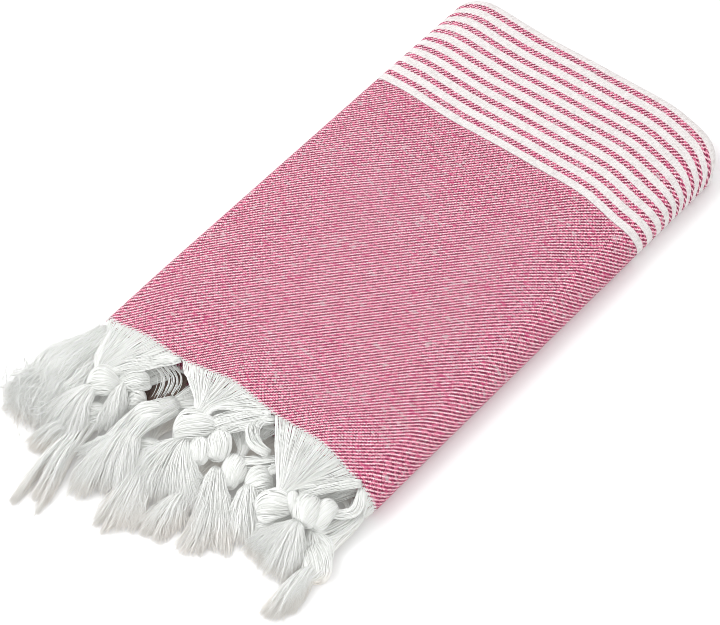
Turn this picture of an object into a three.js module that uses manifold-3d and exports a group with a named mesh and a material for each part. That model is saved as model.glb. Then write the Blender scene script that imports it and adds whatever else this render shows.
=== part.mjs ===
// A flat-woven bath towel with a knotted fringe, folded flat.
// Millimetres, +Z up. +Y runs from the fringed end to the far fold, +X is across the pack.
// The cloth is folded in four along its length, then in four across its width, so its
// sixteen layers are one sheet. Twelve tassels hang from the fringed end of that sheet.

import * as THREE from 'three';
import { mergeVertices } from 'three/addons/utils/BufferGeometryUtils.js';
import Module from 'manifold-3d';

const wasm = await Module();
wasm.setup();

// Driving dimensions of the folded pack.
const packWidth = 250;
const packLength = 420;
const clothThickness = 1.4;
const layerGap = 0.7;
const layersPerLevel = 4;

// Sizes that follow from them.
const layerPitch = clothThickness + layerGap;
const levelPitch = layersPerLevel * layerPitch;
const levelHalf = (levelPitch - layerGap) / 2;
const outerLayer = 1.5 * layerPitch;
const innerLayer = 0.5 * layerPitch;
const levelHeight = [0, 1, 2, 3].map((level) => levelHalf + level * levelPitch);
const nearEdge = -packLength / 2;
const farTurn = packLength / 2 - outerLayer - clothThickness / 2;
const leftTurn = -packWidth / 2 + levelPitch / 2 + levelHalf;
const rightTurn = packWidth / 2 - levelPitch * 1.5 - levelHalf;

// Where the inner layers stop short of the fringed edge, and where the selvedges lie.
const innerEndSetback = 16;
const nearFoldSetback = 21;
const selvedgeSetback = [2, -3];

// Straight runs are divided here, so that the cloth can sag and bow between.
const lengthStops = [nearEdge + 60, -60, 80, 160];
const widthStops = [-100, -72, -45, -14, 27, 62, 90];

// How far the fringed edge reaches past its nominal line, along the width.
const edgeReach = [
  { x: -125, reach: 5 },
  { x: -112, reach: 5 },
  { x: -86, reach: 1 },
  { x: -56, reach: 1.5 },
  { x: -14, reach: -9 },
  { x: 27, reach: -5 },
  { x: 68, reach: -8.5 },
  { x: 108, reach: -1 },
  { x: 125, reach: 2 },
];

// How far the folds of the far end draw in from a straight line, along the width.
const farDraw = [
  { x: -125, reach: 7.5 },
  { x: -103, reach: 7.7 },
  { x: -75, reach: 8.6 },
  { x: -47, reach: 8.6 },
  { x: -9, reach: 5.8 },
  { x: 27, reach: 4.1 },
  { x: 56, reach: 2.4 },
  { x: 70, reach: 2.7 },
  { x: 84, reach: 4.8 },
  { x: 99, reach: 6.6 },
  { x: 125, reach: 6.6 },
];
const farDrawStart = -40;
const farDrawEnd = 90;

// The rounding of the pack's two far corners, as a share of its own width to this power.
const cornerCurve = 2.6;
const cornerStart = 110;
const leftCorner = { wide: 24, deep: 16 };
const rightCorner = { wide: 34, deep: 22 };

// Depth of the soft uneven sags of the pack, as shares of its height, and where they are.
const rightRollOff = 0.2;
const rightRollStart = 74;
const leftRollOff = 0.1;
const leftRollEnd = -88;
const nearRollOff = 0.05;
const nearRollLength = 60;
const middleCrown = 0.04;

// The stacked folds of the far end slip in and out by this much, over their last stretch.
const farSlip = 2;
const farSlipStart = 80;
const farSlipWave = 0.28;

// Tassels: how their locks run from the cloth's edge and what they measure.
const clothToFringe = 0.95;
const fanLocks = 5;
const fanThickness = 1.2;
const gatherReach = 4.6;
const gatheredHalfWidth = 0.9;
const gatheredHalfThickness = 1.8;
const brushLocks = 9;
const lockWaist = 1.6;
const lockSwell = 0.07;
const rowLift = 3.6;

// One row for each tassel, in the order of the sheet's width. A span is the stretch of the
// fringed edge that it gathers, measured along that width. Places are [x, d, z], where d is
// the distance out from the nominal edge. A lobe adds its half sizes and its turn.
const tassels = [
  { name: 'tassel_01', span: [2, 66], neck: [-84, 47, 9.5], lobes: [[-84, 63, 8, 9.5, 11, 7.6, 0]],
    over: [-81, 100, 4], tip: [-73, 148, 2.2], spread: 17 },
  { name: 'tassel_02', span: [66, 150], neck: [20, 22, 13.5], lobes: [[24, 35, 12, 8.5, 9.5, 6.5, 0]],
    over: [30, 66, 6], tip: [55, 99, 3], spread: 13 },
  { name: 'tassel_03', span: [150, 228], neck: [78, 44, 9], lobes: [[77, 58, 8, 9.5, 10, 7.4, 0]],
    over: [80, 72, 5], tip: [83, 84, 3], spread: 11 },
  { name: 'tassel_04', span: [241, 312], neck: [54, 25, 19], lobes: [[48.4, 37, 17.2, 9.5, 10.5, 8.5, 0]],
    over: [53.5, 56, 14], tip: [61.5, 75, 7.5], spread: 10 },
  { name: 'tassel_05', span: [312, 391], neck: [-46, 24, 20], lobes: [[-54, 38, 17.5, 9.5, 14, 8.5, 25]],
    over: [-54, 80, 16.5], tip: [-45, 119, 11], spread: 21 },
  { name: 'tassel_06', span: [391, 470], neck: [-121, 26, 18], lobes: [[-127, 50, 16.5, 12, 15.5, 9.5, 12]],
    over: [-132, 78, 10], tip: [-124, 98, 4], spread: 18 },
  { name: 'tassel_07', span: [470, 540], neck: [-97, 29, 28],
    lobes: [[-95, 43, 23, 12, 10, 8.4, 20], [-77.5, 35, 22.5, 10.5, 10, 8.4, 25]],
    over: [-91, 67, 24], tip: [-95, 88, 14], spread: 24 },
  { name: 'tassel_08', span: [540, 623], neck: [-10, 21, 28],
    lobes: [[-14, 34, 23.5, 13, 9.5, 8.4, -20], [1, 42, 20.5, 12, 9.5, 8.4, -10]],
    over: [0, 71, 25.5], tip: [3, 90, 13], spread: 24 },
  { name: 'tassel_09', span: [623, 706], neck: [70, 34, 27],
    lobes: [[74, 47, 23, 13, 10, 8.4, 25], [94, 38, 22, 12, 10.5, 8.4, 25]],
    over: [83, 70, 25], tip: [80, 88, 13], spread: 22 },
  { name: 'tassel_10', span: [706, 789], neck: [119, 24, 8], lobes: [[116, 53, 10.5, 10.5, 13, 9.5, 0]],
    over: [118, 84, 7], tip: [123, 112, 2.2], spread: 13 },
  { name: 'tassel_11', span: [789, 872], neck: [10, 54, 4], lobes: [[10, 68, 7.6, 8.5, 9.5, 7.2, 0]],
    over: [9, 96, 4], tip: [13, 122, 2.2], spread: 12 },
  { name: 'tassel_12', span: [872, 958], neck: [-40, 46, 4], lobes: [[-33, 62, 8, 8.5, 10, 7.6, 0]],
    over: [-28, 97, 4.4], tip: [-23, 131, 2.2], spread: 13 },
];

// Colours of the cotton, as seen.
const pinkCotton = new THREE.MeshStandardMaterial({ color: 0xc9587c, roughness: 0.9, metalness: 0 });
const whiteCotton = new THREE.MeshStandardMaterial({ color: 0xe9ecea, roughness: 0.95, metalness: 0 });

const smoothStep = THREE.MathUtils.smoothstep;

// The reach of an edge at x, straight between the rows of its table.
function reachAt(table, x) {
  const last = table.length - 1;
  const held = THREE.MathUtils.clamp(x, table[0].x, table[last].x);
  const after = Math.max(1, table.findIndex((row) => row.x >= held));
  const from = table[after - 1];
  const to = table[after];
  return from.reach + (to.reach - from.reach) * ((held - from.x) / (to.x - from.x));
}

// How far the far end is drawn in at a place: its wavy line, and its two rounded corners.
function drawIn(x, y) {
  const cornerAt = (fromSide, { wide, deep }) =>
    deep * THREE.MathUtils.clamp((wide - fromSide) / wide, 0, 1.05) ** cornerCurve;
  const corners = cornerAt(packWidth / 2 + x, leftCorner) + cornerAt(packWidth / 2 - x, rightCorner);
  return reachAt(farDraw, x) * smoothStep(y, farDrawStart, farDrawEnd)
    + corners * smoothStep(y, cornerStart, packLength / 2);
}

// Takes a point of the even pack to its place in the soft uneven one. Heights only scale,
// so the layers keep their order and the underside stays flat at zero.
function settle(x, y, z) {
  const nearFade = 1 - smoothStep(y, nearEdge, nearEdge + nearRollLength);
  const edgeShift = reachAt(edgeReach, x) * nearFade;
  const rightEase = smoothStep(x, rightRollStart, packWidth / 2 + 6);
  const leftEase = 1 - smoothStep(x, -packWidth / 2, leftRollEnd);
  const crown = middleCrown * Math.cos((Math.PI * x) / packWidth) * Math.cos((Math.PI * y) / packLength);
  const slump = rightRollOff * rightEase + leftRollOff * leftEase + nearRollOff * nearFade;
  const farShift = farSlip * Math.sin(farSlipWave * z + 0.6) * smoothStep(y, farSlipStart, packLength / 2);
  const shifted = y - edgeShift + farShift - drawIn(x, y);
  return new THREE.Vector3(x, shifted, z * (1 + crown - slump));
}

// Points of an arc about (cx, cy), both ends included, turned from one angle to another.
function arc(cx, cy, radius, fromDegrees, toDegrees, steps) {
  return Array.from({ length: steps + 1 }, (_, step) => {
    const angle = THREE.MathUtils.degToRad(fromDegrees + ((toDegrees - fromDegrees) * step) / steps);
    return [cx + radius * Math.cos(angle), cy + radius * Math.sin(angle)];
  });
}

// One face of the sheet in the pack's lengthwise section, as points [y, h]. The side is
// +1 for the face that ends up outside and -1 for the other one.
function sheetFace(side) {
  const away = (side * clothThickness) / 2;
  const back = [...lengthStops].reverse();
  const nearFold = nearEdge + nearFoldSetback;
  const run = (stops, height) => stops.map((stop) => [stop, height]);
  return [
    ...run([nearEdge, nearEdge + 20, ...lengthStops], outerLayer + away),
    ...arc(farTurn, 0, outerLayer + away, 90, -90, 5),
    ...run(back, -outerLayer - away),
    ...arc(nearFold, -layerPitch, innerLayer + away, -90, -270, 3),
    ...run(lengthStops, -innerLayer + away),
    ...arc(farTurn, 0, innerLayer - away, -90, 90, 3),
    ...run([...back, nearEdge + innerEndSetback], innerLayer - away),
  ];
}

// The route of the pack across its width: points with the direction of the pack's height.
function widthRoute() {
  const [first, second, third, fourth] = levelHeight;
  const turnRadius = levelPitch / 2;
  const back = [...widthStops].reverse();
  const level = (stops, z, up) => stops.map((x) => ({ x, z, upX: 0, upZ: up }));
  const turn = (cx, cz, radius, from, to, steps, outward) =>
    arc(cx, cz, radius, from, to, steps).map(([x, z]) => {
      const scale = outward / radius;
      return { x, z, upX: (x - cx) * scale, upZ: (z - cz) * scale };
    });
  return [
    ...level([leftTurn - selvedgeSetback[0], ...widthStops], second, 1),
    ...turn(rightTurn, (second + third) / 2, turnRadius, -90, 90, 3, -1),
    ...level(back, third, -1),
    ...turn(leftTurn, (third + fourth) / 2, turnRadius, -90, -270, 5, 1),
    ...level(widthStops, fourth, 1),
    ...turn(rightTurn, (first + fourth) / 2, 1.5 * levelPitch, 90, -90, 7, 1),
    ...level([...back, leftTurn - selvedgeSetback[1]], first, -1),
  ];
}

// A closed mesh from a grid of rings, capped at both ends with the triangles given.
function ringSolid(rings, capTriangles) {
  const ringSize = rings[0].length;
  const last = (rings.length - 1) * ringSize;
  const positions = rings.flat().flatMap((point) => point.toArray());
  const index = [];
  for (let ring = 0; ring < rings.length - 1; ring += 1) {
    for (let spot = 0; spot < ringSize; spot += 1) {
      const next = (spot + 1) % ringSize;
      const here = ring * ringSize;
      const ahead = here + ringSize;
      index.push(here + spot, here + next, ahead + next);
      index.push(here + spot, ahead + next, ahead + spot);
    }
  }
  for (const [a, b, c] of capTriangles) {
    index.push(a, c, b);
    index.push(last + a, last + b, last + c);
  }
  const geometry = new THREE.BufferGeometry();
  geometry.setAttribute('position', new THREE.Float32BufferAttribute(positions, 3));
  geometry.setIndex(index);
  return geometry;
}

// The whole cloth: the lengthwise section carried along the route across the width.
function clothGeometry() {
  const outline = [...sheetFace(1), ...sheetFace(-1).reverse()].reverse();
  const contour = outline.map(([y, h]) => new THREE.Vector2(y, h));
  const caps = THREE.ShapeUtils.triangulateShape(contour, []);
  const rings = widthRoute().map(({ x, z, upX, upZ }) =>
    outline.map(([y, h]) => settle(x + h * upX, y, z + h * upZ)));
  return ringSolid(rings, caps);
}

// The middle of the cloth's fringed edge at a distance along the sheet's width.
function edgeAt(distance) {
  const route = widthRoute();
  const place = ({ x, z, upX, upZ }) => settle(x + outerLayer * upX, nearEdge, z + outerLayer * upZ);
  const lengths = route.slice(1).map(({ x, z }, step) => Math.hypot(x - route[step].x, z - route[step].z));
  let step = 0;
  let left = distance;
  while (left > lengths[step] && step < lengths.length - 1) {
    left -= lengths[step];
    step += 1;
  }
  return place(route[step]).lerp(place(route[step + 1]), left / lengths[step]);
}

// A table place [x, d, z] as a point of the model.
function placeOf([x, d, z]) {
  return new THREE.Vector3(x, nearEdge - d, z);
}

// A closed mesh as a solid for joining.
function toSolid(geometry) {
  geometry.deleteAttribute('normal');
  geometry.deleteAttribute('uv');
  const merged = mergeVertices(geometry, 1e-4);
  return new wasm.Manifold(new wasm.Mesh({
    numProp: 3,
    vertProperties: merged.attributes.position.array,
    triVerts: Uint32Array.from(merged.index.array),
  }));
}

// A tapering lock of yarn along a curve. A lock that starts at the cloth's edge is a flat
// one of four sides along that edge, and any other has three sides, one of them down.
function lockSolid(curve, steps, sizes, edgeSide) {
  const corners = edgeSide
    ? [[-1, -1], [1, -1], [1, 1], [-1, 1]]
    : [[-0.87, -0.5], [0.87, -0.5], [0, 1]];
  const rings = [];
  for (let step = 0; step <= steps; step += 1) {
    const share = step / steps;
    const centre = curve.getPoint(share);
    const ahead = curve.getTangent(share);
    const level = new THREE.Vector3(-ahead.y, ahead.x, 0).normalize();
    const start = (edgeSide ?? level).clone();
    start.multiplyScalar(Math.sign(start.dot(level)));
    const side = start.lerp(level, Math.min(1, share * 1.5)).normalize();
    const up = ahead.clone().cross(side).normalize();
    const [wide, thick] = sizes(share);
    rings.push(corners.map(([across, above]) => {
      const corner = centre.clone().addScaledVector(side, across * wide).addScaledVector(up, above * thick);
      corner.z = Math.max(0, corner.z);
      return corner;
    }));
  }
  return toSolid(ringSolid(rings, edgeSide ? [[0, 1, 2], [0, 2, 3]] : [[0, 1, 2]]));
}

// A rounded lobe of a knot: [x, d, z, half sizes, turn about the vertical in degrees].
function lobeSolid([x, d, z, halfWide, halfDeep, halfHigh, turn]) {
  const ball = new THREE.SphereGeometry(1, 8, 5);
  ball.rotateX(Math.PI / 2);
  ball.scale(halfWide, halfDeep, halfHigh);
  ball.rotateZ(THREE.MathUtils.degToRad(turn));
  const centre = placeOf([x, d, z]);
  ball.translate(centre.x, centre.y, centre.z);
  return toSolid(ball);
}

// The flat locks that run from a span of the edge to the knot, each on a chord of it.
function fanSolids([spanStart, spanEnd], neck, heart, across) {
  const lockWidth = (spanEnd - spanStart) / fanLocks;
  const facing = Math.sign(edgeAt(spanEnd).sub(edgeAt(spanStart)).dot(across));
  return Array.from({ length: fanLocks }, (_, lock) => {
    const from = edgeAt(spanStart + (lock + 0.08) * lockWidth);
    const to = edgeAt(spanStart + (lock + 0.92) * lockWidth);
    const root = from.clone().lerp(to, 0.5);
    const halfWidth = from.distanceTo(to) / 2;
    root.y -= clothToFringe;
    const bend = root.clone().lerp(neck, 0.4);
    bend.z = THREE.MathUtils.lerp(root.z, neck.z, 0.15);
    const aside = facing * gatherReach * ((2 * lock) / (fanLocks - 1) - 1);
    const gathered = neck.clone().addScaledVector(across, aside);
    const held = heart.clone().addScaledVector(across, aside);
    const curve = new THREE.CatmullRomCurve3([root, bend, gathered, held]);
    const sizes = (share) => [
      THREE.MathUtils.lerp(halfWidth, gatheredHalfWidth, Math.min(1, share * 1.6)),
      THREE.MathUtils.lerp(fanThickness / 2, gatheredHalfThickness, share * share),
    ];
    return lockSolid(curve, 3, sizes, to.sub(from).normalize());
  });
}

// The loose locks below the knot, in a lower and an upper row that spread as they fall.
function brushSolids(tassel, heart, across) {
  const over = placeOf(tassel.over);
  const tip = placeOf(tassel.tip);
  const [, , , halfWide] = tassel.lobes[0];
  return Array.from({ length: brushLocks }, (_, lock) => {
    const share = (2 * lock) / (brushLocks - 1) - 1;
    const upper = lock % 2;
    const start = heart.clone().addScaledVector(across, share * halfWide * 0.6);
    start.z += (upper - 0.5) * rowLift;
    const middle = over.clone().addScaledVector(across, share * tassel.spread * 0.6);
    middle.z += upper * rowLift;
    const end = tip.clone().addScaledVector(across, share * tassel.spread);
    end.lerp(heart, 0.1 * share * share + 0.05 * (lock % 3));
    end.z = tip.z + upper * rowLift;
    const curve = new THREE.QuadraticBezierCurve3(start, middle, end);
    const sizes = (along) => {
      const swell = lockSwell * tassel.spread * Math.sin(Math.PI * along);
      return [lockWaist + swell, lockWaist + 0.4 * swell];
    };
    return lockSolid(curve, 4, sizes, null);
  });
}

// One tassel: its fan and its brush are held together by the lobes of its knot.
function tasselGeometry(tassel) {
  const neck = placeOf(tassel.neck);
  const heart = placeOf(tassel.lobes[0]);
  const tip = placeOf(tassel.tip);
  const across = new THREE.Vector3(heart.y - tip.y, tip.x - heart.x, 0).normalize();
  const joined = wasm.Manifold.union([
    ...tassel.lobes.map(lobeSolid),
    ...fanSolids(tassel.span, neck, heart, across),
    ...brushSolids(tassel, heart, across),
  ]);
  const mesh = joined.getMesh();
  const geometry = new THREE.BufferGeometry();
  geometry.setAttribute('position', new THREE.BufferAttribute(mesh.vertProperties, 3));
  geometry.setIndex(new THREE.BufferAttribute(mesh.triVerts, 1));
  return geometry;
}

// A named piece of the towel.
function addPiece(parent, name, geometry, material) {
  geometry.computeVertexNormals();
  const mesh = new THREE.Mesh(geometry, material);
  mesh.name = name;
  parent.add(mesh);
}

const towel = new THREE.Group();
addPiece(towel, 'towel_cloth', clothGeometry(), pinkCotton);
tassels.forEach((tassel) => addPiece(towel, tassel.name, tasselGeometry(tassel), whiteCotton));

// The origin is the middle of the whole towel's footprint, on the surface it lies on.
const box = new THREE.Box3().setFromObject(towel);
const centre = box.getCenter(new THREE.Vector3());
towel.position.set(-centre.x, -centre.y, 0);

export default towel;
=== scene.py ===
import math

import bpy
import numpy as np
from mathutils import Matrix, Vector


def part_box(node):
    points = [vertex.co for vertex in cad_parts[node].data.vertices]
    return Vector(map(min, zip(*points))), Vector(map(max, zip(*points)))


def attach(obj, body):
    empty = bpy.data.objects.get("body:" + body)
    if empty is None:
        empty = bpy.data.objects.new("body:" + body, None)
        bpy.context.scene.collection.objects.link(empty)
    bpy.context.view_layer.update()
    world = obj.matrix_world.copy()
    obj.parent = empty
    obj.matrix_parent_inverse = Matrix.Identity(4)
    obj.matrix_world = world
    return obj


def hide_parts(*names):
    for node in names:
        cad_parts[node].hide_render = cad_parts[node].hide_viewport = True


# A folded flat-woven bath towel with a knotted fringe. Lengths here are millimetres in the
# folded pack's own frame, and they become metres of the model frame as a mesh is made.

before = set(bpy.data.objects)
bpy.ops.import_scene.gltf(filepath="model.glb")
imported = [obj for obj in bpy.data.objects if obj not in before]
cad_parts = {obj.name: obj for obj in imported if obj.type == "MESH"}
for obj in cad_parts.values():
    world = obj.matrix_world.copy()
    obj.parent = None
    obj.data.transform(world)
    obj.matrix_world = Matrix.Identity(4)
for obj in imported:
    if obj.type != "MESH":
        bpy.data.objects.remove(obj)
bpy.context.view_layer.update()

# The pack's own frame has its origin in the middle of the folded cloth.
clothLow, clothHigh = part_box("towel_cloth")
farReach = 211.8                   # from the pack's middle to its far fold, once settled
packOrigin = np.array([
    (clothLow.x + clothHigh.x) / 2,
    clothHigh.y - farReach / 1000,
    0.0,
])


def toModel(points):
    # metres of the model frame = millimetres / 1000 + where the pack's origin is
    return np.asarray(points, float) / 1000 + packOrigin


def addObject(name, data):
    # a new object in the scene, at the origin
    made = bpy.data.objects.new(name, data)
    bpy.context.scene.collection.objects.link(made)
    return made


# Camera, at the photograph's angle.
cameraView = {
    "turn": 40.21,  # degrees round from the fringed end, towards +X
    "rise": 52.01,  # degrees above the floor
    "distance": 2431,  # from the target
    "lens": 166.5,
    "sensor": 36,
    "target": (-1.4, -78.2, 0),
}


def addCamera(view):
    # camera = target + distance x the direction that the turn and the rise give
    turn = math.radians(view["turn"])
    rise = math.radians(view["rise"])
    level = math.cos(rise)
    back = Vector((math.sin(turn) * level, -math.cos(turn) * level, math.sin(rise)))
    data = bpy.data.cameras.new("camera")
    data.lens = view["lens"]
    data.sensor_width = view["sensor"]
    camera = addObject("camera", data)
    camera.location = Vector(toModel(view["target"])) + back * (view["distance"] / 1000)
    camera.rotation_euler = (-back).to_track_quat("-Z", "Y").to_euler()
    bpy.context.scene.camera = camera


addCamera(cameraView)
print("camera placed")


# Meshes and materials.


def smoothStep(value, low, high):
    # 3 s^2 - 2 s^3, where s is the value's share of the way from low to high
    share = np.clip((value - low) / (high - low), 0, 1)
    return share * share * (3 - 2 * share)


def blend(start, end, share):
    # start + (end - start) x share
    return start + (end - start) * share


def addMesh(name, points, faces, corners, uvName, tone=None):
    # A mesh from arrays: points in mm, faces as lists of corner numbers grouped by size,
    # corners as one UV for each corner of each face, in the same order.
    mesh = bpy.data.meshes.new(name)
    placed = toModel(points)
    loops = np.concatenate([group.ravel() for group in faces])
    sizes = np.concatenate([np.full(len(group), group.shape[1]) for group in faces])
    starts = np.concatenate([[0], np.cumsum(sizes)[:-1]])
    mesh.vertices.add(len(placed))
    mesh.vertices.foreach_set("co", placed.astype(np.float32).ravel())
    mesh.loops.add(len(loops))
    mesh.loops.foreach_set("vertex_index", loops.astype(np.int32))
    mesh.polygons.add(len(sizes))
    mesh.polygons.foreach_set("loop_start", starts.astype(np.int32))
    mesh.polygons.foreach_set("use_smooth", np.ones(len(sizes), bool))
    layer = mesh.uv_layers.new(name=uvName)
    layer.data.foreach_set("uv", np.concatenate(corners).astype(np.float32).ravel())
    if tone is not None:
        made = mesh.attributes.new("tone", "FLOAT", "POINT")
        made.data.foreach_set("value", tone.astype(np.float32))
    mesh.update(calc_edges=True)
    return addObject(name, mesh)


def triangleCount(piece):
    # each face has two triangles fewer than it has corners
    return len(piece.data.loops) - 2 * len(piece.data.polygons)


class Wire:
    # One output in a material. Sums and products of wires add the Math nodes they need.
    def __init__(self, tree, socket):
        self.tree = tree
        self.socket = socket

    def node(self, kind, settings=None, sockets=None, output=0):
        # a new node, with its settings made first and then its sockets set or linked
        made = self.tree.nodes.new(kind)
        for name, value in (settings or {}).items():
            setattr(made, name, value)
        for name, value in (sockets or {}).items():
            if isinstance(value, Wire):
                self.tree.links.new(value.socket, made.inputs[name])
            else:
                made.inputs[name].default_value = value
        return Wire(self.tree, made.outputs[output]) if len(made.outputs) else None

    def math(self, operation, *others):
        return self.node("ShaderNodeMath", {"operation": operation}, dict(enumerate((self, *others))))

    def __add__(self, other):
        return self.math("ADD", other)

    def __sub__(self, other):
        return self.math("SUBTRACT", other)

    def __rsub__(self, other):
        return self.node("ShaderNodeMath", {"operation": "SUBTRACT"}, {0: other, 1: self})

    def __mul__(self, other):
        return self.math("MULTIPLY", other)

    def __truediv__(self, other):
        return self.math("DIVIDE", other)

    __radd__ = __add__
    __rmul__ = __mul__

    def step(self, low, high):
        # 0 below low, 1 above high, and smooth between
        return self.node("ShaderNodeMapRange", {"interpolation_type": "SMOOTHSTEP"},
                         {"Value": self, "From Min": low, "From Max": high})

    def colour(self, first, second):
        # the first colour where this is 0 and the second where it is 1
        return self.node("ShaderNodeMix", {"data_type": "RGBA"}, {0: self, 6: first, 7: second}, 2)

    def place(self, y, z=0.0):
        # a point whose x is this
        return self.node("ShaderNodeCombineXYZ", {}, {"X": self, "Y": y, "Z": z})


def startMaterial(name, uvName):
    # A new material, with wires for the two coordinates of a UV map.
    material = bpy.data.materials.new(name)
    material.use_nodes = True
    tree = material.node_tree
    tree.nodes.clear()
    source = tree.nodes.new("ShaderNodeUVMap")
    source.uv_map = uvName
    spot = Wire(tree, source.outputs["UV"])
    across = spot.node("ShaderNodeSeparateXYZ", {}, {0: spot}, 0)
    along = spot.node("ShaderNodeSeparateXYZ", {}, {0: spot}, 1)
    return material, across, along


def noise(point, detail, size=1.0):
    # a soft random field of features about 1/size across
    return point.node("ShaderNodeTexNoise", {}, {"Vector": point, "Scale": size, "Detail": detail})


def finishMaterial(wire, colour, bump, look, paintedGlow=0):
    # the shader and the output, with what a dictionary says of roughness, gloss and sheen,
    # and painted light where it is given: the surface gives off its own colour
    sheen, sheenRoughness = look["sheen"]
    sockets = {
        "Base Color": colour,
        "Roughness": look["roughness"],
        "Normal": bump,
        "Specular IOR Level": look["specular"],
        "Sheen Weight": sheen,
        "Sheen Roughness": sheenRoughness,
    }
    # painted light: the surface gives off its own colour, though it is no lamp
    if paintedGlow:
        sockets.update({"Emission Color": colour, "Emission Strength": paintedGlow})
    shader = wire.node("ShaderNodeBsdfPrincipled", {}, sockets)
    wire.node("ShaderNodeOutputMaterial", {}, {"Surface": shader})


# The cloth: one sheet, folded in four along its length and then in four across its width.
packSizes = {
    "width": 250,
    "length": 420,
    "thickness": 1.4,
    "gap": 0.7,
    "innerEndSetback": 16,  # the sheet's plain end, inside the pack
    "nearFoldSetback": 21,  # the inner lengthwise fold
    "selvedgeSetbacks": (2, -3),
    "rightRollOff": 0.2,  # shares of the height that the pack's sides sink by
    "leftRollOff": 0.1,
    "nearRollOff": 0.05,
    "rightRoll": (74, 131),  # from where to where across the pack they sink
    "leftRoll": (-125, -88),
    "nearRollLength": 60,
    "middleCrown": 0.04,  # share of the height that the middle stands up by
    "farSlip": 2,  # how far the layers slip over each other at the far end
    "farSlipStart": 80,
    "farSlipWave": (0.28, 0.6),  # radians for each millimetre of height, and at the floor
}
# Spans of the section's straight runs and turns, and then of the route across the width.
clothSteps = {
    "top": 56, "layer": 16, "farTurn": 16, "smallTurn": 8,
    "level": 14, "topLevel": 40, "innerTurn": 10, "leftTurn": 14, "outerTurn": 26,
}
# How far the near edge reaches out or in, at places across the pack.
edgeReach = {
    "x": (-125, -112, -86, -56, -14, 27, 68, 108, 125),
    "reach": (5, 5, 1, 1.5, -9, -5, -8.5, -1, 2),
}
# How far the folds of the far end draw in from a straight line, and the rounding of its two
# corners: over how much of the width, and how deep.
farDraw = {
    "x": (-125, -103, -75, -47, -9, 27, 56, 70, 84, 99, 125),
    "reach": (7.5, 7.7, 8.6, 8.6, 5.8, 4.1, 2.4, 2.7, 4.8, 6.6, 6.6),
    "along": (-40, 90),  # from where to where along the pack it builds up
}
farCorners = {"left": (24, 16), "right": (34, 22), "curve": 2.6, "most": 1.05, "start": 110}
# The reach of both tables is an average over so many millimetres each side.
tableBlur = {"reach": 9, "step": 3, "width": 6}
# Soft troughs and ridges of the top: where they start and end, how wide they are, and how deep
# as a share of the height. A fold fades in and out over these shares of its length.
foldFade = {"in": (-0.1, 0.2), "out": (0.7, 1.1)}
softFolds = [
    {"start": (-60, -190), "end": (-95, 60), "wide": 16, "deep": -0.012},
    {"start": (10, -200), "end": (40, -40), "wide": 20, "deep": -0.012},
    {"start": (66, -200), "end": (92, 190), "wide": 12, "deep": 0.01},
    {"start": (-110, 130), "end": (90, 170), "wide": 22, "deep": 0.008},
]

halfWidth = packSizes["width"] / 2
halfLength = packSizes["length"] / 2
layerPitch = packSizes["thickness"] + packSizes["gap"]
levelPitch = 4 * layerPitch
levelHalf = (levelPitch - packSizes["gap"]) / 2
outerLayer = 1.5 * layerPitch
innerLayer = 0.5 * layerPitch
levelHeight = [levelHalf + level * levelPitch for level in range(4)]
nearEdge = -halfLength
farTurn = halfLength - outerLayer - packSizes["thickness"] / 2
leftTurn = -halfWidth + levelPitch / 2 + levelHalf
rightTurn = halfWidth - levelPitch * 1.5 - levelHalf


def reachAt(table, x):
    # a table's reach at x, averaged over a few millimetres each side so that it curves
    spots = np.arange(-tableBlur["reach"], tableBlur["reach"] + 1, tableBlur["step"])
    weights = np.exp(-((spots / tableBlur["width"]) ** 2))
    near = [np.interp(x + spot, table["x"], table["reach"]) * weight
            for spot, weight in zip(spots, weights)]
    return sum(near) / weights.sum()


def drawIn(x, y):
    # the far table's reach, and at each corner depth x (share of the rounding's width)^curve
    corners = 0
    for side, corner in ((-1, "left"), (1, "right")):
        wide, deep = farCorners[corner]
        share = np.clip((side * x - halfWidth + wide) / wide, 0, farCorners["most"])
        corners = corners + deep * share ** farCorners["curve"]
    drawn = reachAt(farDraw, x) * smoothStep(y, *farDraw["along"])
    return drawn + corners * smoothStep(y, farCorners["start"], halfLength)


def reliefAt(x, y):
    # sum over the folds of depth x exp(-(distance from the fold's line / its width)^2), faded
    # at its ends
    total = np.zeros(np.broadcast(x, y).shape)
    for fold in softFolds:
        startX, startY = fold["start"]
        runX, runY = np.subtract(fold["end"], fold["start"])
        length = math.hypot(runX, runY)
        share = ((x - startX) * runX + (y - startY) * runY) / length ** 2
        away = ((x - startX) * runY - (y - startY) * runX) / length
        ends = smoothStep(share, *foldFade["in"]) * (1 - smoothStep(share, *foldFade["out"]))
        total = total + fold["deep"] * np.exp(-((away / fold["wide"]) ** 2)) * ends
    return total


def settle(x, y, z):
    # heights are scaled by 1 + crown + relief - slump, and the two ends shift along y
    nearFade = 1 - smoothStep(y, nearEdge, nearEdge + packSizes["nearRollLength"])
    rightEase = smoothStep(x, *packSizes["rightRoll"])
    leftEase = 1 - smoothStep(x, *packSizes["leftRoll"])
    crown = packSizes["middleCrown"] * np.cos(np.pi * x / packSizes["width"])
    crown = crown * np.cos(np.pi * y / packSizes["length"])
    slump = packSizes["rightRollOff"] * rightEase + packSizes["leftRollOff"] * leftEase
    slump = slump + packSizes["nearRollOff"] * nearFade
    wave, phase = packSizes["farSlipWave"]
    farEase = smoothStep(y, packSizes["farSlipStart"], halfLength)
    farShift = packSizes["farSlip"] * np.sin(wave * z + phase) * farEase
    shifted = y - reachAt(edgeReach, x) * nearFade + farShift - drawIn(x, y)
    return np.stack(np.broadcast_arrays(x, shifted, z * (1 + crown + reliefAt(x, y) - slump)), -1)


def straightRun(start, end, steps):
    # evenly spaced values from start up to, and without, end
    return np.linspace(start, end, steps, endpoint=False)


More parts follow.
